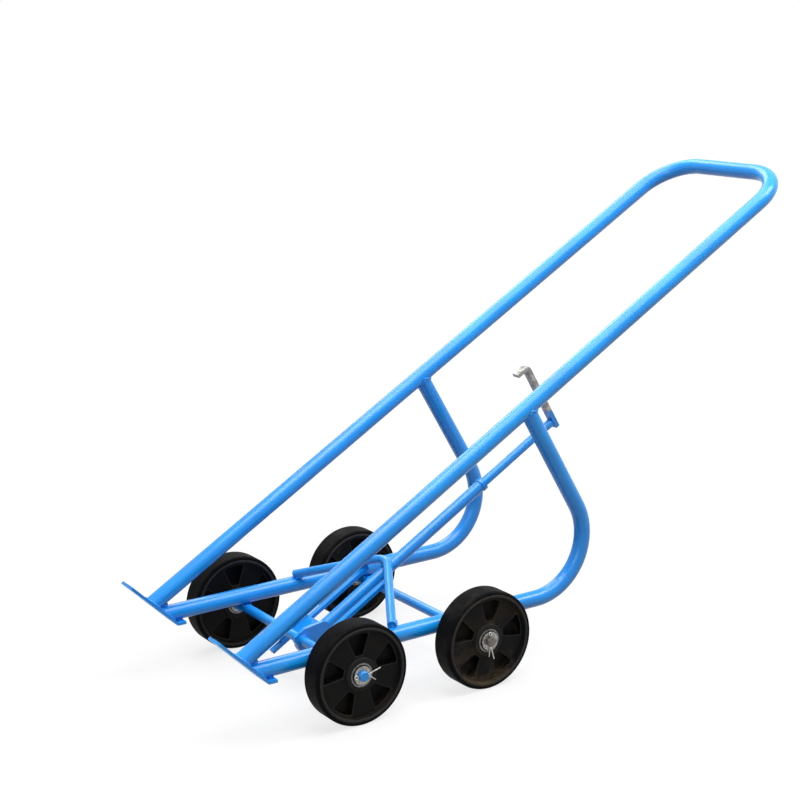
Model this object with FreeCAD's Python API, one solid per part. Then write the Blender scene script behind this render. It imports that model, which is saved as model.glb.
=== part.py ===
import FreeCAD, Part
import math
import os

# Four-wheeled drum trolley of bent steel tube, at rest on its wheels.
# Millimetres, +Z up, origin on the ground under the middle of the part's box.
# +Y points to the handle, +X to the operator's left, -Y to the toe plates.
#
# Each side frame has two tube lines that would meet at a point called the nose,
# just ahead of the toe plates: the rail, which climbs to the handle, and the base,
# which lies level over the axles. Places in a side frame are given from the nose as
# "along" the rail and "off" the rail, where off is positive on the side of the load.

V = FreeCAD.Vector
X_AXIS = V(1, 0, 0)

# Frame tubes
tube_diameter = 33.7
tube_wall = 2.0
rail_angle = 29.83
nose_to_front_axle = 256.8
handle_along = 1628.0
handle_bend_radius = 100.0
leg_along = 811.0
leg_bend_radius = 120.0

# Toe plates, one flat bar each with its heel folded under the base tube
toe_width = 44.0
toe_thickness = 6.0
toe_along = 49.0
toe_tilt = 15.0
toe_tip_reach = 76.0
toe_lip_length = 19.0
toe_tip_radius = 8.0
toe_fold_radius = 2.0

# Axles and what sits on them
axle_diameter = 20.0
axle_chamfer = 1.5
axle_end_margin = 6.2
wheelbase = 294.5
wheel_track = 486.0
washer_diameter = 37.0
washer_thickness = 3.0
spacer_diameter = 28.0
spacer_length = 14.45
pin_wire_diameter = 2.4
pin_long_leg = 27.0
pin_short_leg = 19.0
pin_long_spread = 15.0
pin_bend_radius = 3.0
pin_eye_radius = 3.2
pin_neck_radius = 2.0

# How each axle's split pins are put in, in degrees: turned from upright, and how far
# their short leg is bent out
front_pin_turn = 90.0
front_pin_spread = 40.0
rear_pin_turn = 0.0
rear_pin_spread = 8.0

# Wheels
wheel_diameter = 200.0
tyre_width = 48.0
tyre_shoulder_radius = 5.0
rim_radius = 93.0
rim_width = 50.0
rim_wall = 5.0
rim_taper = 3.0
rim_edge_radius = 1.8
spoke_recess = 8.0
pocket_depth = 14.0
pocket_margin = 4.0
pocket_inner_width = 15.0
pocket_outer_width = 48.0
pocket_corner_radius = 4.0
hub_radius = 32.0
hub_taper = 2.0
hub_inner_reach = 21.0
hub_outer_reach = 21.0
hub_edge_radius = 2.0
bush_diameter = 47.0
bush_race_wall = 3.0
bush_seal_recess = 1.5
spoke_count = 5
front_wheel_turn = 3.0
rear_wheel_turn = -6.5

# Middle spine, which carries the sliding hook
spine_off = -189.5
sleeve_diameter = 25.0
sleeve_start_along = 205.0
sleeve_end_along = 735.0
sleeve_collar_diameter = 29.0
sleeve_collar_length = 8.0
spine_bar_width = 12.0
spine_bar_height = 8.0
spine_bar_spacing = 87.0
spine_bar_start_along = 167.0
spine_bar_end_along = 434.0
bracket_thickness = 8.0
bracket_front_reach = 16.0
bracket_back_reach = 61.0
bracket_rise = 18.0
bracket_corner_radius = 10.0
strap_thickness = 6.0
strap_length = 45.0
brace_diameter = 18.0
brace_apex_along = 466.0
brace_foot_along = 336.0
brace_bend_radius = 40.0

# Sliding hook
rod_diameter = 19.0
rod_start_along = 420.0
hook_along = 945.0
hook_width = 20.0
hook_thickness = 10.0
hook_tail_off = -204.0
hook_top_off = -39.0
hook_lip_length = 25.0
hook_lip_thickness = 8.0
hook_bend_radius = 9.0
hook_inner_radius = 3.0

# Clearances
weld_gap = 0.2
side_clearance = 0.3
running_clearance = 0.05
seat_clearance = 0.1
overrun = 20.0
parallel_share = 0.01

# Values that follow from the sizes above
tube_radius = tube_diameter / 2
axle_radius = axle_diameter / 2
wheel_radius = wheel_diameter / 2
sleeve_radius = sleeve_diameter / 2
rod_radius = rod_diameter / 2
brace_radius = brace_diameter / 2
pin_wire_radius = pin_wire_diameter / 2
wheel_x = wheel_track / 2
spine_bar_x = spine_bar_spacing / 2
base_z = wheel_radius + axle_radius + tube_radius
slope = math.radians(rail_angle)
rail_way = V(0, math.cos(slope), math.sin(slope))
off_way = V(0, -math.sin(slope), math.cos(slope))
toe_turn = math.radians(rail_angle + toe_tilt)
toe_way = V(0, -math.sin(toe_turn), math.cos(toe_turn))
toe_inward = V(0, math.cos(toe_turn), math.sin(toe_turn))
toe_front = toe_along * rail_way.y + toe_tip_reach * toe_way.y
handle_back = handle_along * rail_way.y + tube_radius
nose = V(0, -(toe_front + handle_back) / 2, base_z)
front_axle = V(0, nose.y + nose_to_front_axle, wheel_radius)
rear_axle = front_axle + V(0, wheelbase, 0)
spine_top_off = spine_off + sleeve_radius
brace_off = spine_top_off + weld_gap + brace_radius

# Places along an axle, counted outward from the middle of the trolley. The wheels set
# them, and the side frames stand inside the spacers.
hub_inner_x = wheel_x - hub_inner_reach
hub_outer_x = wheel_x + hub_outer_reach
inner_washer_x = hub_inner_x - side_clearance - washer_thickness
spacer_x = inner_washer_x - seat_clearance - spacer_length
side_x = spacer_x - side_clearance - tube_radius
outer_washer_x = hub_outer_x + side_clearance
pin_x = outer_washer_x + washer_thickness + side_clearance + pin_wire_radius
axle_end_x = pin_x + axle_end_margin


def side_point(along, off, x=0):
    """Point of the side frame, counted from the nose."""
    return nose + rail_way * along + off_way * off + V(x, 0, 0)


def off_rail(point):
    """Height of a point off the rail line."""
    return (point - nose).dot(off_way)


def along_rail(point):
    """Distance of a point along the rail line."""
    return (point - nose).dot(rail_way)


def rounded_edges(corners, closed):
    """Straight edges through (point, radius) corners, each corner turned by an arc."""
    runs = []
    last = len(corners) - 1
    for index, (point, radius) in enumerate(corners):
        if radius == 0 or (not closed and index in (0, last)):
            runs.append((point, None, point))
            continue
        back = (corners[index - 1][0] - point).normalize()
        ahead = (corners[(index + 1) % len(corners)][0] - point).normalize()
        half = back.getAngle(ahead) / 2
        reach = radius / math.tan(half)
        inward = (back + ahead).normalize()
        middle = point + inward * (radius / math.sin(half) - radius)
        runs.append((point + back * reach, middle, point + ahead * reach))
    edges = []
    for index, (start, middle, end) in enumerate(runs):
        if middle is not None:
            edges.append(Part.Arc(start, middle, end).toShape())
        if closed or index < last:
            edges.append(Part.makeLine(end, runs[(index + 1) % len(runs)][0]))
    return edges


def disc(centre, way, radius):
    """Round face square to a direction."""
    return Part.Face(Part.Wire(Part.makeCircle(radius, centre, way)))


def swept_bar(corners, radius, bore=0):
    """Round bar along a bent path, hollow where a bore radius is given."""
    path = Part.Wire(rounded_edges(corners, False))
    start = corners[0][0]
    way = corners[1][0] - start
    section = disc(start, way, radius)
    if bore:
        section = section.cut(disc(start, way, bore)).Faces[0]
    return Part.Solid(path.makePipe(section).Shells[0])


def side_plate(corners, x_low, x_high):
    """Plate with a rounded outline in the side frame, from one x to another."""
    moved = [(V(x_low, point.y, point.z), radius) for point, radius in corners]
    face = Part.Face(Part.Wire(rounded_edges(moved, True)))
    return face.extrude(X_AXIS * (x_high - x_low))


def rod_between(start, end, radius):
    """Round bar from one point to another."""
    return Part.makeCylinder(radius, (end - start).Length, start, end - start)


def ring(centre_x, length, radius, bore, axle):
    """Ring round an axle, from an x outward."""
    start = V(centre_x, axle.y, axle.z)
    end = start + X_AXIS * length
    return rod_between(start, end, radius).cut(rod_between(start, end, bore))


def mirrored(shape):
    """The same piece on the other side of the trolley."""
    return shape.mirror(V(0, 0, 0), X_AXIS)


def largest(shape):
    """The main solid left by a cut."""
    return max(shape.Solids, key=lambda solid: solid.Volume)


def rail_core(x, radius):
    """Solid bar on a rail's line, for coping the tubes that meet it."""
    return rod_between(side_point(0, 0, x), side_point(handle_along, 0, x), radius)


def base_core(x, radius):
    """Solid bar on a base tube's line, for coping the brace that meets it."""
    start = V(x, nose.y, nose.z)
    return rod_between(start, start + V(0, leg_along, 0), radius)


def behind_toe(x):
    """Block that fills the space on the far side of a toe plate's inner face."""
    size = handle_along / 2
    heart = side_point(toe_along, 0, x) + toe_inward * (toe_thickness + weld_gap)
    block = Part.makeBox(size, size, size, V(-size / 2, -size, -size / 2))
    block.rotate(V(0, 0, 0), X_AXIS, rail_angle + toe_tilt)
    return block.translated(heart)


def handle_frame():
    """Both rails and the handle, bent from one tube and cut at the toe plates."""
    corners = [
        (side_point(0, 0, side_x), 0),
        (side_point(handle_along, 0, side_x), handle_bend_radius),
        (side_point(handle_along, 0, -side_x), handle_bend_radius),
        (side_point(0, 0, -side_x), 0),
    ]
    tube = swept_bar(corners, tube_radius, tube_radius - tube_wall)
    return tube.cut(behind_toe(side_x)).cut(behind_toe(-side_x))


def base_tube():
    """Base and leg of the left side, bent from one tube and coped to the rail."""
    corner_off = -leg_along * math.tan(slope)
    corners = [
        (side_point(0, 0, side_x), 0),
        (side_point(leg_along, corner_off, side_x), leg_bend_radius),
        (side_point(leg_along, 0, side_x), 0),
    ]
    tube = swept_bar(corners, tube_radius, tube_radius - tube_wall)
    tube = tube.cut(rail_core(side_x, tube_radius + weld_gap))
    return largest(tube.cut(behind_toe(side_x)))


def toe_plate():
    """Left toe plate: flat under the load, its heel folded back under the base tube."""
    tip = side_point(toe_along, 0) + toe_way * toe_tip_reach
    lip_top = base_z - tube_radius - weld_gap
    lip_bottom = lip_top - toe_thickness
    heel = tip + toe_way * ((lip_bottom - tip.z) / toe_way.z)
    inner_tip = tip + toe_inward * toe_thickness
    inner_heel = inner_tip + toe_way * ((lip_top - inner_tip.z) / toe_way.z)
    lip_end_y = heel.y + toe_lip_length
    corners = [
        (tip, 0),
        (heel, toe_fold_radius + toe_thickness),
        (V(0, lip_end_y, lip_bottom), 0),
        (V(0, lip_end_y, lip_top), 0),
        (inner_heel, toe_fold_radius),
        (inner_tip, 0),
    ]
    plate = side_plate(corners, side_x - toe_width / 2, side_x + toe_width / 2)
    tip_edges = [
        edge for edge in plate.Edges
        if abs(edge.CenterOfMass.sub(tip).dot(toe_way)) < toe_tip_radius / 2
        and abs((edge.lastVertex().Point - edge.firstVertex().Point).x) < toe_tip_radius / 2
        and edge.Length < toe_thickness + weld_gap
    ]
    return plate.makeFillet(toe_tip_radius, tip_edges)


def axle(place, pin_turn):
    """Solid axle with chamfered ends and a cross hole for each split pin."""
    start = place - X_AXIS * axle_end_x
    end = place + X_AXIS * axle_end_x
    bar = rod_between(start, end, axle_radius)
    rims = [edge for edge in bar.Edges if edge.Closed]
    bar = bar.makeChamfer(axle_chamfer, rims)
    for side in (-1, 1):
        middle = place + X_AXIS * (side * pin_x)
        reach = V(0, 0, axle_radius + overrun)
        hole = rod_between(middle - reach, middle + reach, pin_hole_radius())
        hole.rotate(middle, X_AXIS, pin_turn)
        bar = bar.cut(hole)
    return bar


def pin_leg_offset():
    """Half the distance between the two legs of a split pin."""
    return pin_wire_radius + running_clearance


def pin_hole_radius():
    """Radius of the cross hole that takes both legs of a split pin."""
    return pin_leg_offset() + pin_wire_radius + seat_clearance


def split_pin(place, turn, short_spread):
    """Split pin of one bent wire: an eye on top, two legs through the axle, bent apart."""
    half = pin_leg_offset()
    top = axle_radius + pin_wire_radius
    bottom = -axle_radius - pin_wire_diameter
    lean = math.acos((half + pin_neck_radius) / (pin_neck_radius + pin_eye_radius))
    neck_heart = V(0, -half - pin_neck_radius, top)
    neck_mid = neck_heart + V(0, math.cos(lean / 2), math.sin(lean / 2)) * pin_neck_radius
    neck_end = neck_heart + V(0, math.cos(lean), math.sin(lean)) * pin_neck_radius
    eye_top = top + (pin_neck_radius + pin_eye_radius) * math.sin(lean) + pin_eye_radius

    def other(point):
        return V(point.x, -point.y, point.z)

    foot = V(0, -half, bottom)
    short = math.radians(short_spread)
    long = math.radians(pin_long_spread)
    leg_end = foot - V(0, math.sin(short), math.cos(short)) * pin_short_leg
    long_end = other(foot) + V(0, math.sin(long), -math.cos(long)) * pin_long_leg
    leg = rounded_edges([(leg_end, 0), (foot, pin_bend_radius), (V(0, -half, top), 0)], False)
    other_leg = rounded_edges(
        [(V(0, half, top), 0), (other(foot), pin_bend_radius), (long_end, 0)], False)
    neck = Part.Arc(V(0, -half, top), neck_mid, neck_end).toShape()
    eye = Part.Arc(neck_end, V(0, 0, eye_top), other(neck_end)).toShape()
    other_neck = Part.Arc(other(neck_end), other(neck_mid), V(0, half, top)).toShape()
    path = Part.Wire(leg + [neck, eye, other_neck] + other_leg)
    section = disc(leg_end, foot - leg_end, pin_wire_radius)
    wire = Part.Solid(path.makePipe(section).Shells[0])
    wire.rotate(V(0, 0, 0), X_AXIS, turn)
    return wire.translated(place)


def at_wheels(make):
    """A small piece repeated at all four wheels, in one group."""
    pieces = []
    for place in (front_axle, rear_axle):
        piece = make(place)
        pieces.append(piece)
        pieces.append(mirrored(piece))
    return Part.makeCompound(pieces)


def axle_spacers():
    """Spacer sleeves on the axles, between the base tubes and the inner washers."""
    return at_wheels(lambda place: ring(
        spacer_x, spacer_length, spacer_diameter / 2, axle_radius + seat_clearance, place))


def inner_washers():
    """Plain washers between the spacers and the hubs."""
    return at_wheels(lambda place: ring(
        inner_washer_x, washer_thickness, washer_diameter / 2, axle_radius + seat_clearance, place))


def outer_washers():
    """Plain washers between the hubs and the split pins."""
    return at_wheels(lambda place: ring(
        outer_washer_x, washer_thickness, washer_diameter / 2, axle_radius + seat_clearance, place))


def split_pins():
    """The four split pins."""
    pieces = []
    for place, turn, spread in (
        (front_axle, front_pin_turn, front_pin_spread),
        (rear_axle, rear_pin_turn, rear_pin_spread),
    ):
        pin = split_pin(place + X_AXIS * pin_x, turn, spread)
        pieces.append(pin)
        pieces.append(mirrored(pin))
    return Part.makeCompound(pieces)


def spun(profile, place):
    """Solid of revolution about a wheel's axle from points given as (x, radius)."""
    corners = [(V(wheel_x + x, place.y, place.z + radius), turn) for x, radius, turn in profile]
    face = Part.Face(Part.Wire(rounded_edges(corners, True)))
    return face.revolve(place, X_AXIS, 360)


def tyre(place):
    """Rubber tyre of the left side, with rounded shoulders."""
    seat = rim_radius + running_clearance
    half = tyre_width / 2
    profile = [
        (half, seat, 0),
        (half, wheel_radius, tyre_shoulder_radius),
        (-half, wheel_radius, tyre_shoulder_radius),
        (-half, seat, 0),
    ]
    return spun(profile, place)


def pocket(place):
    """Wedge-shaped tool for one pocket between two spokes, on the outer face."""
    inner = hub_radius + hub_taper + pocket_margin
    outer = rim_radius - rim_wall - rim_taper - pocket_margin
    inner_half = math.asin(pocket_inner_width / 2 / inner)
    outer_half = math.asin(pocket_outer_width / 2 / outer)
    floor_x = wheel_x + rim_width / 2 - spoke_recess - pocket_depth

    def at(radius, angle):
        return V(floor_x, place.y + radius * math.sin(angle), place.z + radius * math.cos(angle))

    outline = Part.Wire([
        Part.Arc(at(outer, -outer_half), at(outer, 0), at(outer, outer_half)).toShape(),
        Part.makeLine(at(outer, outer_half), at(inner, inner_half)),
        Part.Arc(at(inner, inner_half), at(inner, 0), at(inner, -inner_half)).toShape(),
        Part.makeLine(at(inner, -inner_half), at(outer, -outer_half)),
    ])
    depth = pocket_depth + overrun
    tool = Part.Face(outline).extrude(X_AXIS * depth)
    uprights = [
        edge for edge in tool.Edges
        if edge.tangentAt(edge.FirstParameter).cross(X_AXIS).Length < parallel_share
    ]
    return tool.makeFillet(pocket_corner_radius, uprights)


def wheel_centre(place, turn):
    """Moulded centre of the left side: hub, broad spokes over a web, and rim."""
    half = rim_width / 2
    face = half - spoke_recess
    bore = bush_diameter / 2 + running_clearance
    lip = rim_radius - rim_wall
    profile = [
        (hub_outer_reach, bore, 0),
        (hub_outer_reach, hub_radius, hub_edge_radius),
        (face, hub_radius + hub_taper, 0),
        (face, lip - rim_taper, 0),
        (half, lip, rim_edge_radius),
        (half, rim_radius, rim_edge_radius),
        (-half, rim_radius, rim_edge_radius),
        (-half, lip, rim_edge_radius),
        (-face, lip - rim_taper, 0),
        (-face, hub_radius + hub_taper, 0),
        (-hub_inner_reach, hub_radius, hub_edge_radius),
        (-hub_inner_reach, bore, 0),
    ]
    body = spun(profile, place)
    tool = pocket(place)
    back = tool.mirror(V(wheel_x, 0, 0), X_AXIS)
    for count in range(spoke_count):
        angle = turn + 360 / spoke_count * count
        for side in (tool, back):
            turned = side.copy()
            turned.rotate(place, X_AXIS, angle)
            body = body.cut(turned)
    return body


def wheel_bush(place):
    """Steel bearing pressed in the hub, with its seals set back between its two rings."""
    bore = axle_radius + running_clearance
    outer = bush_diameter / 2
    inner_race = bore + bush_race_wall
    outer_race = outer - bush_race_wall
    profile = [
        (hub_outer_reach, bore, 0),
        (hub_outer_reach, inner_race, 0),
        (hub_outer_reach - bush_seal_recess, inner_race, 0),
        (hub_outer_reach - bush_seal_recess, outer_race, 0),
        (hub_outer_reach, outer_race, 0),
        (hub_outer_reach, outer, 0),
        (-hub_inner_reach, outer, 0),
        (-hub_inner_reach, outer_race, 0),
        (-hub_inner_reach + bush_seal_recess, outer_race, 0),
        (-hub_inner_reach + bush_seal_recess, inner_race, 0),
        (-hub_inner_reach, inner_race, 0),
        (-hub_inner_reach, bore, 0),
    ]
    return spun(profile, place)


def spine_bar():
    """Left flat bar beside the sleeve, from ahead of the front axle to the brace."""
    low = spine_top_off - spine_bar_height
    corners = [
        (side_point(spine_bar_start_along, low), 0),
        (side_point(spine_bar_end_along, low), 0),
        (side_point(spine_bar_end_along, spine_top_off), 0),
        (side_point(spine_bar_start_along, spine_top_off), 0),
    ]
    half = spine_bar_width / 2
    return side_plate(corners, spine_bar_x - half, spine_bar_x + half)


def axle_bracket():
    """Left plate that stands on a spine bar and holds the front axle."""
    foot = spine_top_off + weld_gap
    axle_at = along_rail(front_axle)
    front = axle_at - bracket_front_reach
    back = axle_at + bracket_back_reach
    top = off_rail(front_axle) + bracket_rise
    corners = [
        (side_point(front, foot), 0),
        (side_point(back, foot), 0),
        (side_point(back, off_rail(front_axle)), bracket_corner_radius),
        (side_point(axle_at + bracket_front_reach, top), bracket_corner_radius),
        (side_point(front, top), bracket_corner_radius),
    ]
    half = bracket_thickness / 2
    plate = side_plate(corners, spine_bar_x - half, spine_bar_x + half)
    reach = X_AXIS * axle_end_x
    return plate.cut(rod_between(front_axle - reach, front_axle + reach, axle_radius + weld_gap))


def sleeve_strap():
    """Flat strap across the spine bars and the sleeve, between the axle brackets."""
    low = spine_top_off + weld_gap
    back = along_rail(front_axle) + bracket_back_reach
    corners = [
        (side_point(back - strap_length, low), 0),
        (side_point(back, low), 0),
        (side_point(back, low + strap_thickness), 0),
        (side_point(back - strap_length, low + strap_thickness), 0),
    ]
    half = spine_bar_x - bracket_thickness / 2 - weld_gap
    return side_plate(corners, -half, half)


def vee_brace():
    """Bent bar over the spine, with its feet coped on top of the base tubes."""
    corners = [
        (side_point(brace_foot_along, brace_off, side_x), 0),
        (side_point(brace_apex_along, brace_off), brace_bend_radius),
        (side_point(brace_foot_along, brace_off, -side_x), 0),
    ]
    bar = swept_bar(corners, brace_radius)
    for x in (-side_x, side_x):
        bar = bar.cut(base_core(x, tube_radius + weld_gap))
    return largest(bar)


def hook_sleeve():
    """Guide tube of the hook, on the middle line under the rails."""
    start = side_point(sleeve_start_along, spine_off)
    end = side_point(sleeve_end_along, spine_off)
    bore = rod_radius + running_clearance
    return rod_between(start, end, sleeve_radius).cut(rod_between(start, end, bore))


def sleeve_collar():
    """Ring round the mouth of the guide tube, which the hook comes down on."""
    start = side_point(sleeve_end_along - sleeve_collar_length, spine_off)
    end = side_point(sleeve_end_along, spine_off)
    outer = rod_between(start, end, sleeve_collar_diameter / 2)
    return outer.cut(rod_between(start, end, sleeve_radius + weld_gap))


def hook_rod():
    """Rod that slides in the guide tube and carries the hook."""
    start = side_point(rod_start_along, spine_off)
    end = side_point(hook_along - weld_gap, spine_off)
    return rod_between(start, end, rod_radius)


def chime_hook():
    """Flat bar across the rod's end, turned over at the top to catch the load's rim."""
    back = hook_along + hook_thickness
    lip_end = hook_along - hook_lip_length
    lip_low = hook_top_off - hook_lip_thickness
    corners = [
        (side_point(hook_along, hook_tail_off), 0),
        (side_point(back, hook_tail_off), 0),
        (side_point(back, hook_top_off), hook_bend_radius),
        (side_point(lip_end, hook_top_off), 0),
        (side_point(lip_end, lip_low), 0),
        (side_point(hook_along, lip_low), hook_inner_radius),
    ]
    return side_plate(corners, -hook_width / 2, hook_width / 2)


def left_and_right(name, shape):
    """A left-hand piece and its mirror image, under their own names."""
    return {name + "_left": shape, name + "_right": mirrored(shape)}


def all_pieces():
    """Every piece by node name."""
    pieces = {"handle_frame": handle_frame()}
    pieces.update(left_and_right("base_tube", base_tube()))
    pieces.update(left_and_right("toe_plate", toe_plate()))
    pieces["front_axle"] = axle(front_axle, front_pin_turn)
    pieces["rear_axle"] = axle(rear_axle, rear_pin_turn)
    pieces["axle_spacers"] = axle_spacers()
    pieces["inner_washers"] = inner_washers()
    pieces["outer_washers"] = outer_washers()
    pieces["split_pins"] = split_pins()
    pieces["vee_brace"] = vee_brace()
    pieces.update(left_and_right("spine_bar", spine_bar()))
    pieces.update(left_and_right("axle_bracket", axle_bracket()))
    pieces["sleeve_strap"] = sleeve_strap()
    pieces["hook_sleeve"] = hook_sleeve()
    pieces["sleeve_collar"] = sleeve_collar()
    pieces["hook_rod"] = hook_rod()
    pieces["chime_hook"] = chime_hook()
    for end, place, turn in (
        ("front", front_axle, front_wheel_turn),
        ("rear", rear_axle, rear_wheel_turn),
    ):
        pieces.update(left_and_right(end + "_tyre", tyre(place)))
        pieces.update(left_and_right(end + "_wheel_centre", wheel_centre(place, turn)))
        pieces.update(left_and_right(end + "_wheel_bush", wheel_bush(place)))
    return pieces


os.makedirs("parts", exist_ok=True)
for node, piece in all_pieces().items():
    piece.exportStep("parts/" + node + ".step")
print("front axle", tuple(front_axle), "rear axle", tuple(rear_axle))
print("hook way", tuple(rail_way), "hook seat", tuple(side_point(hook_along, spine_off)))
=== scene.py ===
import math

import bmesh
import bpy
from mathutils import Matrix, Vector

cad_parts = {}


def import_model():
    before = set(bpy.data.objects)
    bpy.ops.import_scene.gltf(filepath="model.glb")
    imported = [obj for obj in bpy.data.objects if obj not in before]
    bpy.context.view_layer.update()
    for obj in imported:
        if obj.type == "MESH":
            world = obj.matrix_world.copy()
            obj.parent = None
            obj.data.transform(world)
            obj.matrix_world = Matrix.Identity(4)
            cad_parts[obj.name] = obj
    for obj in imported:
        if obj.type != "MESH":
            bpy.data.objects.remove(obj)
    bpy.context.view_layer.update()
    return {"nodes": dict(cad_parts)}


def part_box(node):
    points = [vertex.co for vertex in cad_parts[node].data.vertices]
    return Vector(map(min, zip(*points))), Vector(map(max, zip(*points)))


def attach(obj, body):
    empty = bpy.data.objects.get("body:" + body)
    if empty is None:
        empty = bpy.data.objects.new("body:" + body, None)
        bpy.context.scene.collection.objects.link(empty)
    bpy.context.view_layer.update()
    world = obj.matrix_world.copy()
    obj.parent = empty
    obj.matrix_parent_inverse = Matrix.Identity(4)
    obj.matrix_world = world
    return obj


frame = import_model()
nodes = frame["nodes"]

# Places, in metres. "along" and "off" are counted from the nose, where the lines of a
# rail and its base tube would meet: along the rail, and off it on the side of the load.
RAIL_ANGLE = math.radians(29.83)
RAIL = Vector((0, math.cos(RAIL_ANGLE), math.sin(RAIL_ANGLE)))
OFF = Vector((0, -math.sin(RAIL_ANGLE), math.cos(RAIL_ANGLE)))
SIDEWAYS = Vector((1, 0, 0))
UP = Vector((0, 0, 1))
ORIGIN = Vector((0, 0, 0))
TUBE = 0.01685
SIDE_X = 0.187
BASE_Z = 0.12685
NOSE_TO_AXLE = 0.2568
front_low, front_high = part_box("front_axle")
rear_low, rear_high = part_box("rear_axle")
FRONT = Vector((0, (front_low.y + front_high.y) / 2, (front_low.z + front_high.z) / 2))
REAR = Vector((0, (rear_low.y + rear_high.y) / 2, (rear_low.z + rear_high.z) / 2))
NOSE = Vector((0, FRONT.y - NOSE_TO_AXLE, BASE_Z))

# Toe plates, middle spine, hook, legs and brace
TOE_ALONG = 0.049
TOE_TILT = math.radians(15.0)
TOE_THICK = 0.006
SPINE_OFF = -0.1895
SLEEVE = 0.0125
SLEEVE_END = 0.735
COLLAR_LENGTH = 0.008
SPINE_TOP = SPINE_OFF + SLEEVE
BAR_X = 0.0435
ROD = 0.0095
HOOK_ALONG = 0.945
LEG_ALONG = 0.811
BRACE = 0.0092
BRACE_APEX = 0.466
BRACE_FALL = 0.130 / SIDE_X

# Wheels. A pair of values is where a band of the look begins and where it is full.
WHEEL_X = 0.243
WHEEL_FACE = 0.017
FRONT_TURN = math.radians(3.0)
REAR_TURN = math.radians(-6.5)
SPOKES = 5
HUB = 0.032
POCKET_INNER = 0.038
POCKET_INNER_HALF = 0.0075
POCKET_OUTER = 0.081
POCKET_OUTER_HALF = 0.024
LIP = (0.0868, 0.0880)
TREAD = (0.0962, 0.0992)
RIM_CORNER = (0.060, 0.082)
HUB_CORNER = (0.046, 0.034)
SEAL_START = (0.0128, 0.0132)
SEAL_END = (0.0203, 0.0206)
MOULDING_PITCH = 0.0018
TURNING_PITCH = 0.0009


def side(along, off, x=0.0):
    """Point of a side frame in the row frame."""
    return NOSE + RAIL * along + OFF * off + SIDEWAYS * x


# Materials


class Look:
    """A node material with short calls to add and link nodes."""

    def __init__(self, name):
        self.material = bpy.data.materials.new(name)
        self.material.use_nodes = True
        self.tree = self.material.node_tree
        self.shader = self.tree.nodes["Principled BSDF"]
        self.place = self.tree.nodes.new("ShaderNodeTexCoord").outputs["Object"]

    def add(self, kind, values=None, **settings):
        node = self.tree.nodes.new("ShaderNode" + kind)
        for key, value in settings.items():
            setattr(node, key, value)
        for key, value in (values or {}).items():
            self.put(node.inputs[key], value)
        return node

    def put(self, socket, value):
        if isinstance(value, bpy.types.NodeSocket):
            self.tree.links.new(value, socket)
        else:
            socket.default_value = value

    def set(self, **values):
        """Sets inputs of the shader, with _ for each space in a name."""
        for key, value in values.items():
            self.put(self.shader.inputs[key.replace("_", " ")], value)

    def noise(self, scale, detail=3.0, rough=0.5, place=None):
        """Cloudy value around a half, with about so many clouds to the metre."""
        return self.add("TexNoise", {"Vector": place or self.place, "Scale": scale,
                                     "Detail": detail, "Roughness": rough}).outputs["Fac"]

    def ramp(self, value, low, high, to_low=0.0, to_high=1.0):
        """Maps low..high of a value smoothly to to_low..to_high."""
        node = self.add("MapRange", {0: value, 1: low, 2: high, 3: to_low, 4: to_high})
        node.interpolation_type = "SMOOTHSTEP"
        return node.outputs[0]

    def math(self, operation, a, b=0.0):
        return self.add("Math", {0: a, 1: b}, operation=operation).outputs[0]

    def mix(self, share, a, b):
        """Colour between a and b."""
        node = self.add("Mix", data_type="RGBA")
        self.put(node.inputs["Factor"], share)
        for socket, value in (("A", a), ("B", b)):
            target = [s for s in node.inputs if s.name == socket and s.type == "RGBA"][0]
            self.put(target, value)
        return [s for s in node.outputs if s.type == "RGBA"][0]

    def blend(self, share, a, b):
        """Number between a and b."""
        return self.add("MapRange", {0: share, 1: 0.0, 2: 1.0, 3: a, 4: b}).outputs[0]

    def moved(self, start):
        """Place of each point, counted from a start."""
        return self.add("VectorMath", {0: self.place, 1: start}, operation="SUBTRACT").outputs[0]

    def dot(self, direction, start):
        """Distance of each point from a start along a direction, in metres."""
        values = {0: self.moved(start), 1: direction}
        return self.add("VectorMath", values, operation="DOT_PRODUCT").outputs["Value"]

    def beside(self):
        """Distance of each point from the middle plane, in metres."""
        return self.math("ABSOLUTE", self.dot(SIDEWAYS, ORIGIN))

    def radius(self, axle):
        """Distance of each point from a wheel's axle line, in metres."""
        values = {0: self.moved(axle), 1: (0, 1, 1)}
        flat = self.add("VectorMath", values, operation="MULTIPLY").outputs[0]
        return self.add("VectorMath", {0: flat}, operation="LENGTH").outputs["Value"]

    def waves(self, value, pitch):
        """Wave of -1 to 1 that repeats with a pitch."""
        return self.math("SINE", self.math("MULTIPLY", value, 2 * math.pi / pitch))

    def bump(self, height, strength, distance, below=None):
        node = self.add("Bump", {"Height": height, "Strength": strength, "Distance": distance})
        if below is not None:
            self.put(node.inputs["Normal"], below)
        return node.outputs["Normal"]

    def up(self):
        """How far each surface faces up, from -1 to 1."""
        normal = self.add("NewGeometry").outputs["Normal"]
        return self.add("SeparateXYZ", {0: normal}).outputs["Z"]


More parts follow.
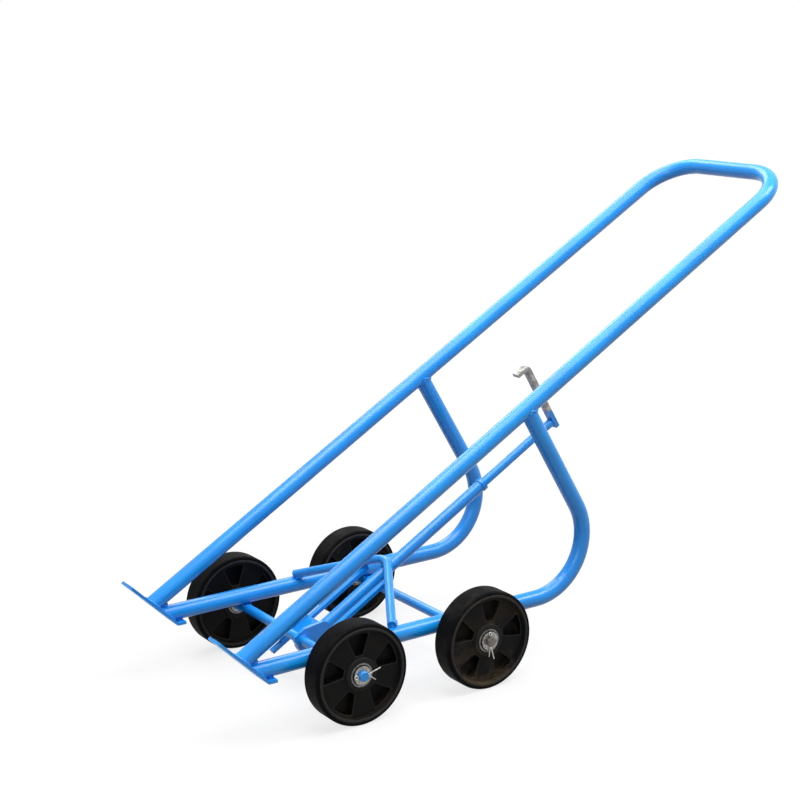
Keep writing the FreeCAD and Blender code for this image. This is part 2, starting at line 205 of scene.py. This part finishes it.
# Colours. A pair of colours is mixed by a cloudy pattern.
BLUE = (0.007, 0.285, 0.830, 1)
BLUE_DEEP = (0.006, 0.255, 0.775, 1)
BLUE_PALE = (0.009, 0.320, 0.880, 1)
STEEL = (0.30, 0.29, 0.27, 1)
RUST = (0.115, 0.052, 0.024, 1)
DUST = (0.235, 0.200, 0.160, 1)
BARE_DULL = ((0.10, 0.087, 0.073, 1), (0.20, 0.180, 0.160, 1))
BARE_BRIGHT = ((0.20, 0.190, 0.172, 1), (0.44, 0.430, 0.405, 1))
RUBBER = ((0.0030, 0.0030, 0.0034, 1), (0.0054, 0.0054, 0.0058, 1))
RUBBER_GRIT = (0.060, 0.052, 0.042, 1)
PLASTIC = ((0.0036, 0.0036, 0.0038, 1), (0.0066, 0.0066, 0.0066, 1))
# painted shade: darker colour for the floors of a wheel's pockets
PLASTIC_POCKET_SHADE = (0.0012, 0.0012, 0.0012, 1)
PLASTIC_HUB = (0.0180, 0.0180, 0.0176, 1)
# painted highlight, with some rubbing: pale grey for the rim ring and the pocket edges
PLASTIC_RUB_AND_HIGHLIGHT = (0.034, 0.034, 0.034, 1)
SOIL = (0.072, 0.054, 0.032, 1)
ZINC = ((0.17, 0.165, 0.155, 1), (0.38, 0.375, 0.36, 1))
ZINC_BRIGHT = ((0.34, 0.335, 0.325, 1), (0.55, 0.55, 0.54, 1))
BEARING = ((0.09, 0.088, 0.085, 1), (0.21, 0.205, 0.20, 1))
STAIN = (0.10, 0.065, 0.040, 1)
SEAL = (0.010, 0.010, 0.010, 1)

# Share of dust on the front and rear wheels, and of it on the tyres
FRONT_DUST = 0.14
REAR_DUST = 0.75
TYRE_DUST = 0.25

# Where loads rub the rails: heights over a rail's line, and where along it the rubbing ends
RUB_TOP = (0.0155, 0.0168)
RUB_END = (0.90, 0.99)


def rubbing(look):
    """Long scratches on the top of the rails, over the length that loads lie on."""
    top = look.ramp(look.dot(OFF, NOSE), *RUB_TOP)
    below = look.ramp(look.dot(RAIL, NOSE), *RUB_END, 1.0, 0.0)
    streak = look.add("Mapping", {"Vector": look.place, "Scale": (1, 0.18, 0.18)},
                      vector_type="POINT").outputs[0]
    rub = look.ramp(look.noise(150.0, 5.0, 0.7, streak), 0.52, 0.62)
    rub = look.math("MULTIPLY", look.math("MULTIPLY", rub, top), below)
    return look.math("MULTIPLY", rub, 0.6)


def paint(name, chips=0.0, rails=False, bare_above=None, bare_ends=None, bare=BARE_DULL):
    """Glossy blue enamel: uneven colour, orange peel, small chips, dust on what faces up.

    It is stripped to bare steel above a height off the rails' line, or beyond a distance
    from the middle plane.
    """
    look = Look(name)
    wide = look.noise(5.0, 3.0)
    fine = look.noise(70.0, 5.0, 0.6)
    colour = look.mix(look.ramp(wide, 0.36, 0.66), BLUE_DEEP, BLUE_PALE)
    colour = look.mix(look.ramp(fine, 0.30, 0.62, 0.55, 0.0), colour, BLUE)
    more_specks = chips * 0.06
    more_patches = chips * 0.1
    specks = look.ramp(look.noise(260.0, 4.0, 0.65), 0.68 - more_specks, 0.71 - more_specks)
    patches = look.ramp(look.noise(17.0, 3.0, 0.6), 0.54 - more_patches, 0.64 - more_patches)
    worn = look.math("MULTIPLY", specks, patches)
    if rails:
        worn = look.math("MAXIMUM", worn, rubbing(look))
    metal = look.mix(look.ramp(look.noise(420.0, 4.0), 0.42, 0.60), STEEL, RUST)
    stripped = None
    if bare_above is not None:
        ragged = look.math("ADD", look.dot(OFF, NOSE), look.blend(fine, -0.006, 0.006))
        stripped = look.ramp(ragged, bare_above - 0.002, bare_above + 0.002)
    if bare_ends is not None:
        stripped = look.ramp(look.beside(), bare_ends - 0.001, bare_ends + 0.001)
    if stripped is not None:
        metal = look.mix(stripped, metal, look.mix(look.ramp(fine, 0.35, 0.65), *bare))
        worn = look.math("MAXIMUM", worn, stripped)
    colour = look.mix(worn, colour, metal)
    dusty = look.math("MULTIPLY", look.ramp(look.up(), 0.55, 1.0),
                      look.ramp(look.noise(38.0, 3.0, 0.55), 0.42, 0.75, 0.0, 0.08))
    colour = look.mix(dusty, colour, DUST)
    gloss = look.ramp(look.noise(22.0, 2.0), 0.3, 0.7, 0.215, 0.245)
    rough = look.blend(look.math("MAXIMUM", worn, dusty), gloss, 0.58)
    peel = look.bump(look.noise(200.0, 2.0), 0.018, 0.0005)
    look.set(Base_Color=colour, Roughness=rough, Metallic=look.math("MULTIPLY", worn, 0.7),
             Normal=look.bump(worn, 0.25, -0.0004, peel), Specular_IOR_Level=0.46)
    return look.material


def rubber(name, axle, dust):
    """Black rubber: dull wall with faint moulding lines, scuffed and dusty tread."""
    look = Look(name)
    out = look.radius(axle)
    tread = look.ramp(out, *TREAD)
    fine = look.noise(240.0, 5.0, 0.65)
    wide = look.noise(26.0, 4.0, 0.6)
    colour = look.mix(look.ramp(fine, 0.35, 0.7), *RUBBER)
    grit = look.math("MULTIPLY", look.ramp(wide, 0.40, 0.72), look.blend(tread, dust, dust + 0.05))
    colour = look.mix(grit, colour, RUBBER_GRIT)
    moulded = look.bump(look.waves(out, MOULDING_PITCH), 0.08, 0.0003)
    grain = look.bump(fine, look.blend(tread, 0.12, 0.40), 0.0005, moulded)
    look.set(Base_Color=colour, Roughness=look.ramp(fine, 0.3, 0.7, 0.55, 0.70), Normal=grain,
             Specular_IOR_Level=0.035)
    return look.material


def from_pocket(look, axle, turn):
    """Distance of each point of a wheel from the nearest pocket's outline, in metres.

    It is below 0 inside the pocket.
    """
    parts = look.add("SeparateXYZ", {0: look.moved(axle)}).outputs
    angle = look.math("ARCTAN2", look.math("MULTIPLY", parts["Y"], -1.0), parts["Z"])
    step = 2 * math.pi / SPOKES
    folded = look.math("FLOORED_MODULO", look.math("ADD", angle, step / 2 - turn), step)
    folded = look.math("SUBTRACT", folded, step / 2)
    out = look.radius(axle)
    across = look.math("ABSOLUTE", look.math("MULTIPLY", out, look.math("SINE", folded)))
    up = look.math("MULTIPLY", out, look.math("COSINE", folded))
    # the pocket's straight side, from its inner to its outer corner
    inner = Vector((POCKET_INNER_HALF, math.sqrt(POCKET_INNER ** 2 - POCKET_INNER_HALF ** 2)))
    outer = Vector((POCKET_OUTER_HALF, math.sqrt(POCKET_OUTER ** 2 - POCKET_OUTER_HALF ** 2)))
    way = (outer - inner).normalized()
    sideways = look.math("SUBTRACT", look.math("MULTIPLY", across, way.y),
                         look.math("MULTIPLY", up, way.x))
    sideways = look.math("SUBTRACT", sideways, inner.x * way.y - inner.y * way.x)
    beyond = look.math("SUBTRACT", out, POCKET_OUTER)
    short = look.math("SUBTRACT", POCKET_INNER, out)
    return look.math("MAXIMUM", sideways, look.math("MAXIMUM", beyond, short))


def plastic(name, axle, turn, dust):
    """Black moulded plastic: fine grain, paler scuffed hub, painted highlight with some rubbing on the rim
    ring and pocket edges, painted shade on the pocket floors, brown dust in corners.
    """
    look = Look(name)
    fine = look.noise(300.0, 4.0, 0.6)
    wide = look.noise(21.0, 5.0, 0.62)
    colour = look.mix(look.ramp(fine, 0.3, 0.7), *PLASTIC)
    out = look.radius(axle)
    depth = look.math("ABSOLUTE", look.math("SUBTRACT", look.beside(), WHEEL_X))
    pocket = from_pocket(look, axle, turn)
    face = look.ramp(depth, WHEEL_FACE - 0.0012, WHEEL_FACE - 0.0004)
    # painted shade: the pocket floors, below the web's face, are darkened to stand in for the shade in
    # them
    pocket_shade = look.math("MULTIPLY", look.ramp(pocket, 0.0006, 0.0002, 0.0, 0.8),
                       look.ramp(face, 0.0, 1.0, 1.0, 0.0))
    colour = look.mix(pocket_shade, colour, PLASTIC_POCKET_SHADE)
    scuffed = look.ramp(fine, 0.25, 0.60, 0.55, 1.0)
    hub = look.math("MULTIPLY", look.ramp(out, HUB + 0.0030, HUB + 0.0010), scuffed)
    colour = look.mix(hub, colour, PLASTIC_HUB)
    # painted highlight, with some rubbing: the rim ring and the pocket edges on the face are made paler
    # where light catches them
    lip = look.math("MULTIPLY", look.ramp(out, *LIP), scuffed)
    edge = look.math("MULTIPLY", look.ramp(pocket, 0.0016, 0.0004), face)
    rub_and_highlight = look.math("MAXIMUM", lip, look.math("MULTIPLY", edge, scuffed))
    colour = look.mix(rub_and_highlight, colour, PLASTIC_RUB_AND_HIGHLIGHT)
    low = look.ramp(look.dot(UP, axle), 0.02, -0.06, 0.45, 1.0)
    corner = look.math("MAXIMUM", look.ramp(out, *RIM_CORNER), look.ramp(out, *HUB_CORNER))
    soil = look.math("MULTIPLY", look.ramp(wide, 0.42, 0.66), look.blend(corner, dust * 0.6, dust))
    colour = look.mix(look.math("MULTIPLY", soil, low), colour, SOIL)
    rounded = look.add("Bevel", {"Radius": 0.0016}, samples=4).outputs[0]
    rough = look.blend(soil, look.ramp(fine, 0.3, 0.7, 0.42, 0.54), 0.8)
    look.set(Base_Color=colour, Roughness=rough, Normal=look.bump(fine, 0.10, 0.0004, rounded),
             Specular_IOR_Level=0.065)
    return look.material


def zinc(name, colours, turned=None):
    """Plated steel: cloudy plating and fine scratches. A bearing has turning marks and dark seals."""
    look = Look(name)
    cloud = look.noise(160.0, 5.0, 0.65)
    fine = look.noise(900.0, 3.0)
    colour = look.mix(look.ramp(cloud, 0.32, 0.66), *colours)
    stain = look.ramp(look.noise(75.0, 4.0, 0.7), 0.62, 0.74, 0.0, 0.5)
    colour = look.mix(stain, colour, STAIN)
    normal = look.bump(fine, 0.15, 0.0002)
    rough = look.blend(stain, look.ramp(cloud, 0.3, 0.7, 0.26, 0.42), 0.6)
    shine = look.ramp(stain, 0.0, 0.5, 0.92, 0.70)
    if turned is not None:
        out = look.radius(turned)
        normal = look.bump(look.waves(out, TURNING_PITCH), 0.12, 0.0002, normal)
        seal = look.math("MULTIPLY", look.ramp(out, *SEAL_START), look.ramp(out, *SEAL_END, 1.0, 0.0))
        colour = look.mix(seal, colour, SEAL)
        rough = look.blend(seal, rough, 0.6)
        shine = look.math("MULTIPLY", shine, look.ramp(seal, 0.0, 1.0, 1.0, 0.0))
    look.set(Base_Color=colour, Roughness=rough, Metallic=shine, Normal=normal)
    return look.material


enamel = paint("blue_enamel", 0.25)
enamel_rails = paint("blue_enamel_rails", 0.20, rails=True)
enamel_low = paint("blue_enamel_low", 0.8)
enamel_hook = paint("blue_enamel_hook", 0.7, bare_above=-0.160, bare=BARE_BRIGHT)
enamel_rear_axle = paint("blue_enamel_rear_axle", 0.4, bare_ends=0.206)
plated = zinc("zinc_plate", ZINC)
pins = zinc("zinc_pins", ZINC_BRIGHT)
LOW_PIECES = ("toe_plate", "spine_bar", "axle_bracket", "sleeve_strap")

for name, node in nodes.items():
    rear = name.startswith("rear")
    end = REAR if rear else FRONT
    turn = REAR_TURN if rear else FRONT_TURN
    dust = REAR_DUST if rear else FRONT_DUST
    if "_tyre_" in name:
        chosen = rubber("rubber_" + name, end, dust * TYRE_DUST)
    elif "_wheel_centre_" in name:
        chosen = plastic("plastic_" + name, end, turn, dust)
    elif "_wheel_bush_" in name:
        chosen = zinc("bearing_" + name, BEARING, end)
    elif name == "split_pins":
        chosen = pins
    elif name in ("inner_washers", "outer_washers"):
        chosen = plated
    elif name == "handle_frame":
        chosen = enamel_rails
    elif name == "chime_hook":
        chosen = enamel_hook
    elif name == "rear_axle":
        chosen = enamel_rear_axle
    elif name.startswith(LOW_PIECES):
        chosen = enamel_low
    else:
        chosen = enamel
    node.data.materials.clear()
    node.data.materials.append(chosen)


# Weld beads

# Shape of a bead: points round it, ripples, and how it thins over its last points
BEAD_SIDES = 10
RIPPLE = 0.13
RIPPLE_PITCH = 0.0034
WANDER = 0.06
WANDER_RATE = 831
END_SIZE = 0.35
END_POINTS = 3
RING_POINTS = 96

# Radii of the beads
SADDLE_BEAD = 0.0025
TOE_BEAD = 0.0023
CROTCH_BEAD = 0.0027
CROTCH_GROWTH = 0.0005
HEEL_BEAD = 0.0021
AXLE_BEAD = 0.0026
FOOT_BEAD = 0.0023
BRACKET_BEAD = 0.0019
BRACKET_RING_BEAD = 0.0016
BAR_END_BEAD = 0.0020
SLEEVE_BEAD = 0.0020
COLLAR_BEAD = 0.0015
HOOK_BEAD = 0.0016

# Places of the beads. A lift is a bead's distance from the surface that it lies on.
SADDLE_LONG = TUBE * 1.04
SADDLE_WIDE = TUBE * 0.98
SADDLE_TOP = 0.22
SADDLE_DROP = 0.80
RAIL_RING = TUBE * 1.03
BASE_RING = TUBE * 1.02
PLATE_LIFT = 0.0008
CROTCH_RUNS = 4
CROTCH_START = 0.0012
CROTCH_STEP = 0.0038
HEEL_OUT = 0.0078
HEEL_AHEAD = 0.0955
HEEL_DOWN = 0.0161
HEEL_LENGTH = 0.0120
AXLE_OUT = 0.0080
AXLE_UP = 0.0079
AXLE_HALF = 0.0090
FOOT_BACK = 0.0175
FOOT_OUT = 0.0083
FOOT_DOWN = 0.0044
FOOT_LENGTH = 0.0165
FOOT_FALL = 0.0015
BRACE_LIFT = 0.0004
BRACE_END_LIFT = 0.0006
# beads across an end of the brace: height, first and last angle round the base tube, radius
BRACE_END_BEADS = ((0.0002, -12, 9, 0.0022), (0.0024, -11, 8, 0.0019))
BRACKET_ALONG = 0.1950
BRACKET_LENGTH = 0.0735
BRACKET_LIFT = 0.0006
BRACKET_OUT = 0.0046
BRACKET_RING = 0.0107
BRACKET_RING_OUT = 0.0045
BAR_HALF = 0.0055
BAR_END_BACK = 0.0074
BAR_END_LIFT = 0.0012
SLEEVE_LIFT = 0.0010
SLEEVE_WELD_HALF = 0.0075
SLEEVE_WELD_STEPS = 8
SLEEVE_WELDS = (0.4476, 0.4676, 0.2248, 0.2710)
COLLAR_GAP = 0.0002
COLLAR_LIFT = 0.0004
HOOK_INSET = 0.0015
HOOK_LIFT = 0.0006
HOOK_POINTS = 66


def bead_rings(mesh, path, radius, closed=False):
    """Rippled bead of weld along a path of points."""
    count = len(path)
    rings = []
    run = 0.0
    for index, point in enumerate(path):
        ahead = path[(index + 1) % count] if closed or index < count - 1 else point
        back = path[index - 1] if closed or index else point
        way = (ahead - back).normalized()
        if index:
            run += (point - path[index - 1]).length
        across = way.orthogonal().normalized()
        over = way.cross(across)
        ends = 1.0
        if not closed:
            from_end = min(index, count - 1 - index)
            ends = min(1.0, END_SIZE + (1 - END_SIZE) * from_end / END_POINTS)
        ripple = RIPPLE * math.sin(run * 2 * math.pi / RIPPLE_PITCH)
        wander = WANDER * math.sin(run * WANDER_RATE)
        size = radius * ends * (1 + ripple + wander)
        ring = []
        for turn in whole_turn(BEAD_SIDES):
            outward = across * math.cos(turn) + over * math.sin(turn)
            ring.append(mesh.verts.new(point + outward * size))
        rings.append(ring)
    for index in range(count if closed else count - 1):
        join_rings(mesh, rings[index], rings[(index + 1) % count])
    if not closed:
        mesh.faces.new(rings[0])
        mesh.faces.new(rings[-1])


def join_rings(mesh, first, second):
    """Faces between two rings. The second may be turned, so its nearest start is taken."""
    sides = len(first)
    shift = min(range(sides), key=lambda s: (second[s].co - first[0].co).length)
    for step in range(sides):
        after = (step + 1) % sides
        mesh.faces.new((first[step], first[after],
                        second[(step + 1 + shift) % sides], second[(step + shift) % sides]))


def line(start, end, pitch=0.0011):
    """Points from one place to another."""
    count = max(4, round((end - start).length / pitch))
    return [start.lerp(end, i / count) for i in range(count + 1)]


def whole_turn(count):
    """Angles all the way round."""
    return [2 * math.pi * i / count for i in range(count)]


def arc(first, last, pitch=2.2):
    """Angles from one to another, given in degrees."""
    count = round(abs(last - first) / pitch)
    return [math.radians(first + (last - first) * i / count) for i in range(count + 1)]


def piece(name, mesh, body, chosen):
    """Object of the scene that rides on a body."""
    bmesh.ops.recalc_face_normals(mesh, faces=mesh.faces)
    for face in mesh.faces:
        face.smooth = True
    data = bpy.data.meshes.new(name)
    mesh.to_mesh(data)
    mesh.free()
    made = bpy.data.objects.new(name, data)
    bpy.context.scene.collection.objects.link(made)
    data.materials.append(chosen)
    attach(made, body)
    return made


def saddle(x, turn):
    """Point of the seam between a leg and the rail over it."""
    off = -TUBE * (SADDLE_TOP + SADDLE_DROP * abs(math.sin(turn)))
    return side(LEG_ALONG + SADDLE_LONG * math.sin(turn), off, x + SADDLE_WIDE * math.cos(turn))


def plate_face():
    """Distance of a toe plate's inner face from the nose, square to the plate."""
    return TOE_ALONG * math.cos(TOE_TILT) + TOE_THICK


def rail_ring(x, turn):
    """Point round a rail, on the toe plate's inner face."""
    off = RAIL_RING * math.sin(turn)
    along = (plate_face() - off * math.sin(TOE_TILT)) / math.cos(TOE_TILT)
    return side(along + PLATE_LIFT, off, x + RAIL_RING * math.cos(turn))


def base_ring(x, turn):
    """Point round a base tube, on the toe plate's inner face."""
    lean = RAIL_ANGLE + TOE_TILT
    rise = BASE_RING * math.sin(turn)
    ahead = (plate_face() - rise * math.sin(lean)) / math.cos(lean)
    return NOSE + Vector((x + BASE_RING * math.cos(turn), ahead + PLATE_LIFT, rise))


def crotch(x, turn, beyond):
    """Point of the seam where a rail and its base tube part, or some way beyond it."""
    half = RAIL_ANGLE / 2
    reach = TUBE / math.sin(half) * math.sin(turn) + beyond
    return NOSE + Vector((x + TUBE * math.cos(turn), reach * math.cos(half), reach * math.sin(half)))


def brace_end(foot, run, turn, height):
    """Point of the seam between an end of the brace and the base tube, or some way above it."""
    reach = TUBE + BRACE_LIFT + height
    x = reach * math.sin(turn)
    rise = BASE_Z + reach * math.cos(turn) - foot.z
    return foot + Vector((x, (BRACE_END_LIFT - run.x * x - run.z * rise) / run.y, rise))


def over_sleeve(along, x):
    """Point just above the guide tube."""
    return side(along, SPINE_OFF + math.sqrt(SLEEVE ** 2 - x ** 2) + SLEEVE_LIFT, x)


def round_spine(along, radius, count):
    """Points of a ring round the line of the guide tube and the rod."""
    return [side(along, SPINE_OFF + radius * math.sin(t), radius * math.cos(t)) for t in whole_turn(count)]


def foot_welds(mesh, x):
    """Beads of a foot of the brace, on its base tube."""
    outward = 1 if x > 0 else -1
    run = (SIDEWAYS * outward - RAIL * BRACE_FALL).normalized()
    over = OFF.cross(run).normalized()
    foot = side(BRACE_APEX - abs(x) * BRACE_FALL, SPINE_TOP + BRACE, x)
    for near in (-1, 1):
        start = foot - run * FOOT_BACK + over * near * FOOT_OUT - OFF * FOOT_DOWN
        bead_rings(mesh, line(start, start + run * FOOT_LENGTH - OFF * FOOT_FALL), FOOT_BEAD)
    for height, first, last, radius in BRACE_END_BEADS:
        seam = [brace_end(foot, run, outward * t, height) for t in arc(first, last, 1.5)]
        bead_rings(mesh, seam, radius)


def side_welds(mesh, x):
    """Beads of a side frame."""
    # leg under the rail
    bead_rings(mesh, [saddle(x, t) for t in whole_turn(RING_POINTS)], SADDLE_BEAD, True)
    # rail and base tube on the toe plate, and the crotch between them
    bead_rings(mesh, [rail_ring(x, t) for t in arc(-62, 242)], TOE_BEAD)
    bead_rings(mesh, [base_ring(x, t) for t in arc(114, 426)], TOE_BEAD)
    for run in range(CROTCH_RUNS):
        seam = [crotch(x, t, CROTCH_START + CROTCH_STEP * run) for t in arc(66, 114, 3)]
        bead_rings(mesh, seam, CROTCH_BEAD + CROTCH_GROWTH * run)
    # base tube on the toe plate's folded heel
    for near in (-1, 1):
        start = NOSE + Vector((x + near * HEEL_OUT, HEEL_AHEAD, -HEEL_DOWN))
        bead_rings(mesh, line(start, start + Vector((0, HEEL_LENGTH, 0))), HEEL_BEAD)
    # axles under the base tube
    half = SIDEWAYS * AXLE_HALF
    for axle in (FRONT, REAR):
        for near in (-1, 1):
            middle = Vector((x, axle.y + near * AXLE_OUT, axle.z + AXLE_UP))
            bead_rings(mesh, line(middle - half, middle + half), AXLE_BEAD)
    foot_welds(mesh, x)


def bar_welds(mesh, x):
    """Beads of a spine bar: its axle bracket, the bracket's axle, and the brace on the bar's end."""
    for near in (-1, 1):
        start = side(BRACKET_ALONG, SPINE_TOP + BRACKET_LIFT, x + near * BRACKET_OUT)
        bead_rings(mesh, line(start, start + RAIL * BRACKET_LENGTH), BRACKET_BEAD)
        beside = x + near * BRACKET_RING_OUT
        ring = [FRONT + Vector((beside, BRACKET_RING * math.cos(t), BRACKET_RING * math.sin(t)))
                for t in whole_turn(RING_POINTS // 2)]
        bead_rings(mesh, ring, BRACKET_RING_BEAD, True)
    ends = []
    for edge in (x - BAR_HALF, x + BAR_HALF):
        along = BRACE_APEX - abs(edge) * BRACE_FALL - BAR_END_BACK
        ends.append(side(along, SPINE_TOP + BAR_END_LIFT, edge))
    bead_rings(mesh, line(*ends), BAR_END_BEAD)


def frame_welds():
    """All the weld beads of the frame, in one mesh."""
    mesh = bmesh.new()
    for x in (-SIDE_X, SIDE_X):
        side_welds(mesh, x)
    for x in (-BAR_X, BAR_X):
        bar_welds(mesh, x)
    # brace and strap on the guide tube
    steps = range(-SLEEVE_WELD_STEPS, SLEEVE_WELD_STEPS + 1)
    across = [SLEEVE_WELD_HALF * i / SLEEVE_WELD_STEPS for i in steps]
    for along in SLEEVE_WELDS:
        bead_rings(mesh, [over_sleeve(along, x) for x in across], SLEEVE_BEAD)
    # ring at the mouth of the guide tube
    mouth = SLEEVE_END - COLLAR_LENGTH - COLLAR_GAP
    bead_rings(mesh, round_spine(mouth, SLEEVE + COLLAR_LIFT, RING_POINTS), COLLAR_BEAD, True)
    return piece("frame_welds", mesh, "frame", enamel_low)


def hook_weld():
    """Weld bead between the hook's rod and its bar.

    It is set into the bar, so that it clears the guide tube's mouth when the rod is pushed in.
    """
    mesh = bmesh.new()
    bead_rings(mesh, round_spine(HOOK_ALONG + HOOK_INSET, ROD + HOOK_LIFT, HOOK_POINTS), HOOK_BEAD, True)
    return piece("hook_weld", mesh, "hook", enamel_low)


frame_welds()
hook_weld()


# Floor, light and camera

FLOOR_SIZE = 60
FLOOR_DROP = 0.0002
FLOOR_GREY = (0.18, 0.18, 0.18, 1)
GLOW_RANGE = (1.1, 3.0)
GLOW_LEVELS = (0.77, 1.0)
WHITE = (1, 1, 1, 1)
SOFT_LIGHT = 0.13

# Soft boxes: name, place, target, width, length and power in watts
LAMPS = (
    ("key", (0.65, 0.1, 3.9), (0.5, 0.1, 0.4), 2.9, 4.8, 170),
    ("back", (1.1, 1.9, 3.0), (0.1, -0.1, 0.2), 1.3, 1.5, 52),
    ("fill", (2.4, -2.8, 2.0), (0, 0.1, 0.6), 2.0, 2.0, 28),
    ("front", (0.2, -0.7, 2.4), (0, 0.65, 0.9), 0.9, 0.9, 11),
    ("rim", (-2.5, 0.7, 2.7), (0, 0.4, 0.6), 1.6, 1.6, 40),
)

# Camera fitted to the photograph. Focal length and centre are in the photograph's pixels.
PICTURE = 800
SENSOR = 36
FOCAL = 1693.08
CENTRE_X = 412.997
CENTRE_Y = 440.277
CAMERA_AZIMUTH = math.radians(56.32)
CAMERA_HEIGHT = math.radians(14.73)
CAMERA_ROLL = math.radians(-1.058)
CAMERA_PLACE = Vector((2.77105, -1.54655 + FRONT.y, 1.32527))
CAMERA_END = 100


def seen(tree):
    """Value of 1 on rays from the camera, or reflected or passed on to it, and 0 on the rest."""
    rays = tree.nodes.new("ShaderNodeLightPath")
    last = rays.outputs["Is Camera Ray"]
    for name in ("Is Glossy Ray", "Is Transmission Ray"):
        most = tree.nodes.new("ShaderNodeMath")
        most.operation = "MAXIMUM"
        tree.links.new(last, most.inputs[0])
        tree.links.new(rays.outputs[name], most.inputs[1])
        last = most.outputs[0]
    return last


def floor():
    """Wide pale floor that keeps the shadow and turns white away from the object."""
    mesh = bmesh.new()
    bmesh.ops.create_grid(mesh, x_segments=1, y_segments=1, size=FLOOR_SIZE)
    data = bpy.data.meshes.new("floor")
    mesh.to_mesh(data)
    mesh.free()
    made = bpy.data.objects.new("floor", data)
    made.location.z = -FLOOR_DROP
    bpy.context.scene.collection.objects.link(made)
    look = Look("pale_floor")
    tree = look.tree
    far = look.add("VectorMath", {0: look.place}, operation="LENGTH").outputs["Value"]
    level = look.ramp(far, *GLOW_RANGE, *GLOW_LEVELS)
    glow = look.add("Emission", {"Strength": look.math("MULTIPLY", seen(tree), level)})
    diffuse = look.add("BsdfDiffuse", {"Color": FLOOR_GREY})
    both = look.add("AddShader")
    tree.links.new(diffuse.outputs[0], both.inputs[0])
    tree.links.new(glow.outputs[0], both.inputs[1])
    tree.links.new(both.outputs[0], tree.nodes["Material Output"].inputs["Surface"])
    tree.nodes.remove(look.shader)
    data.materials.append(look.material)


def world():
    """Even soft light, and white where the camera or a reflection looks past the object."""
    made = bpy.data.worlds.new("studio")
    bpy.context.scene.world = made
    made.use_nodes = True
    tree = made.node_tree
    background = tree.nodes["Background"]
    background.inputs["Color"].default_value = WHITE
    strength = tree.nodes.new("ShaderNodeMapRange")
    strength.inputs["To Min"].default_value = SOFT_LIGHT
    strength.inputs["To Max"].default_value = 1.0
    tree.links.new(seen(tree), strength.inputs["Value"])
    tree.links.new(strength.outputs[0], background.inputs["Strength"])


def lamp(name, place, target, width, length, power):
    """Soft box that faces a point. From above, its width lies along X and its length along Y."""
    data = bpy.data.lights.new(name, "AREA")
    data.shape = "RECTANGLE"
    data.size = width
    data.size_y = length
    data.energy = power
    made = bpy.data.objects.new(name, data)
    bpy.context.scene.collection.objects.link(made)
    made.visible_camera = False
    made.location = place
    made.rotation_euler = (Vector(target) - Vector(place)).to_track_quat("-Z", "Y").to_euler()


def camera():
    """Camera at the photograph's place."""
    level = math.cos(CAMERA_HEIGHT)
    ahead = Vector((-math.sin(CAMERA_AZIMUTH) * level, math.cos(CAMERA_AZIMUTH) * level,
                    -math.sin(CAMERA_HEIGHT)))
    right = ahead.cross(UP).normalized()
    up = right.cross(ahead)
    roll_cos = math.cos(CAMERA_ROLL)
    roll_sin = math.sin(CAMERA_ROLL)
    rolled_right = right * roll_cos + up * roll_sin
    rolled_up = up * roll_cos - right * roll_sin
    data = bpy.data.cameras.new("camera")
    data.sensor_width = SENSOR
    data.lens = SENSOR * FOCAL / PICTURE
    data.shift_x = (PICTURE / 2 - CENTRE_X) / PICTURE
    data.shift_y = (CENTRE_Y - PICTURE / 2) / PICTURE
    data.clip_end = CAMERA_END
    made = bpy.data.objects.new("camera", data)
    bpy.context.scene.collection.objects.link(made)
    turn = Matrix((rolled_right, rolled_up, -ahead)).transposed().to_4x4()
    made.matrix_world = Matrix.Translation(CAMERA_PLACE) @ turn
    bpy.context.scene.camera = made


floor()
world()
for row in LAMPS:
    lamp(*row)
camera()
bpy.context.scene.view_settings.view_transform = "Standard"
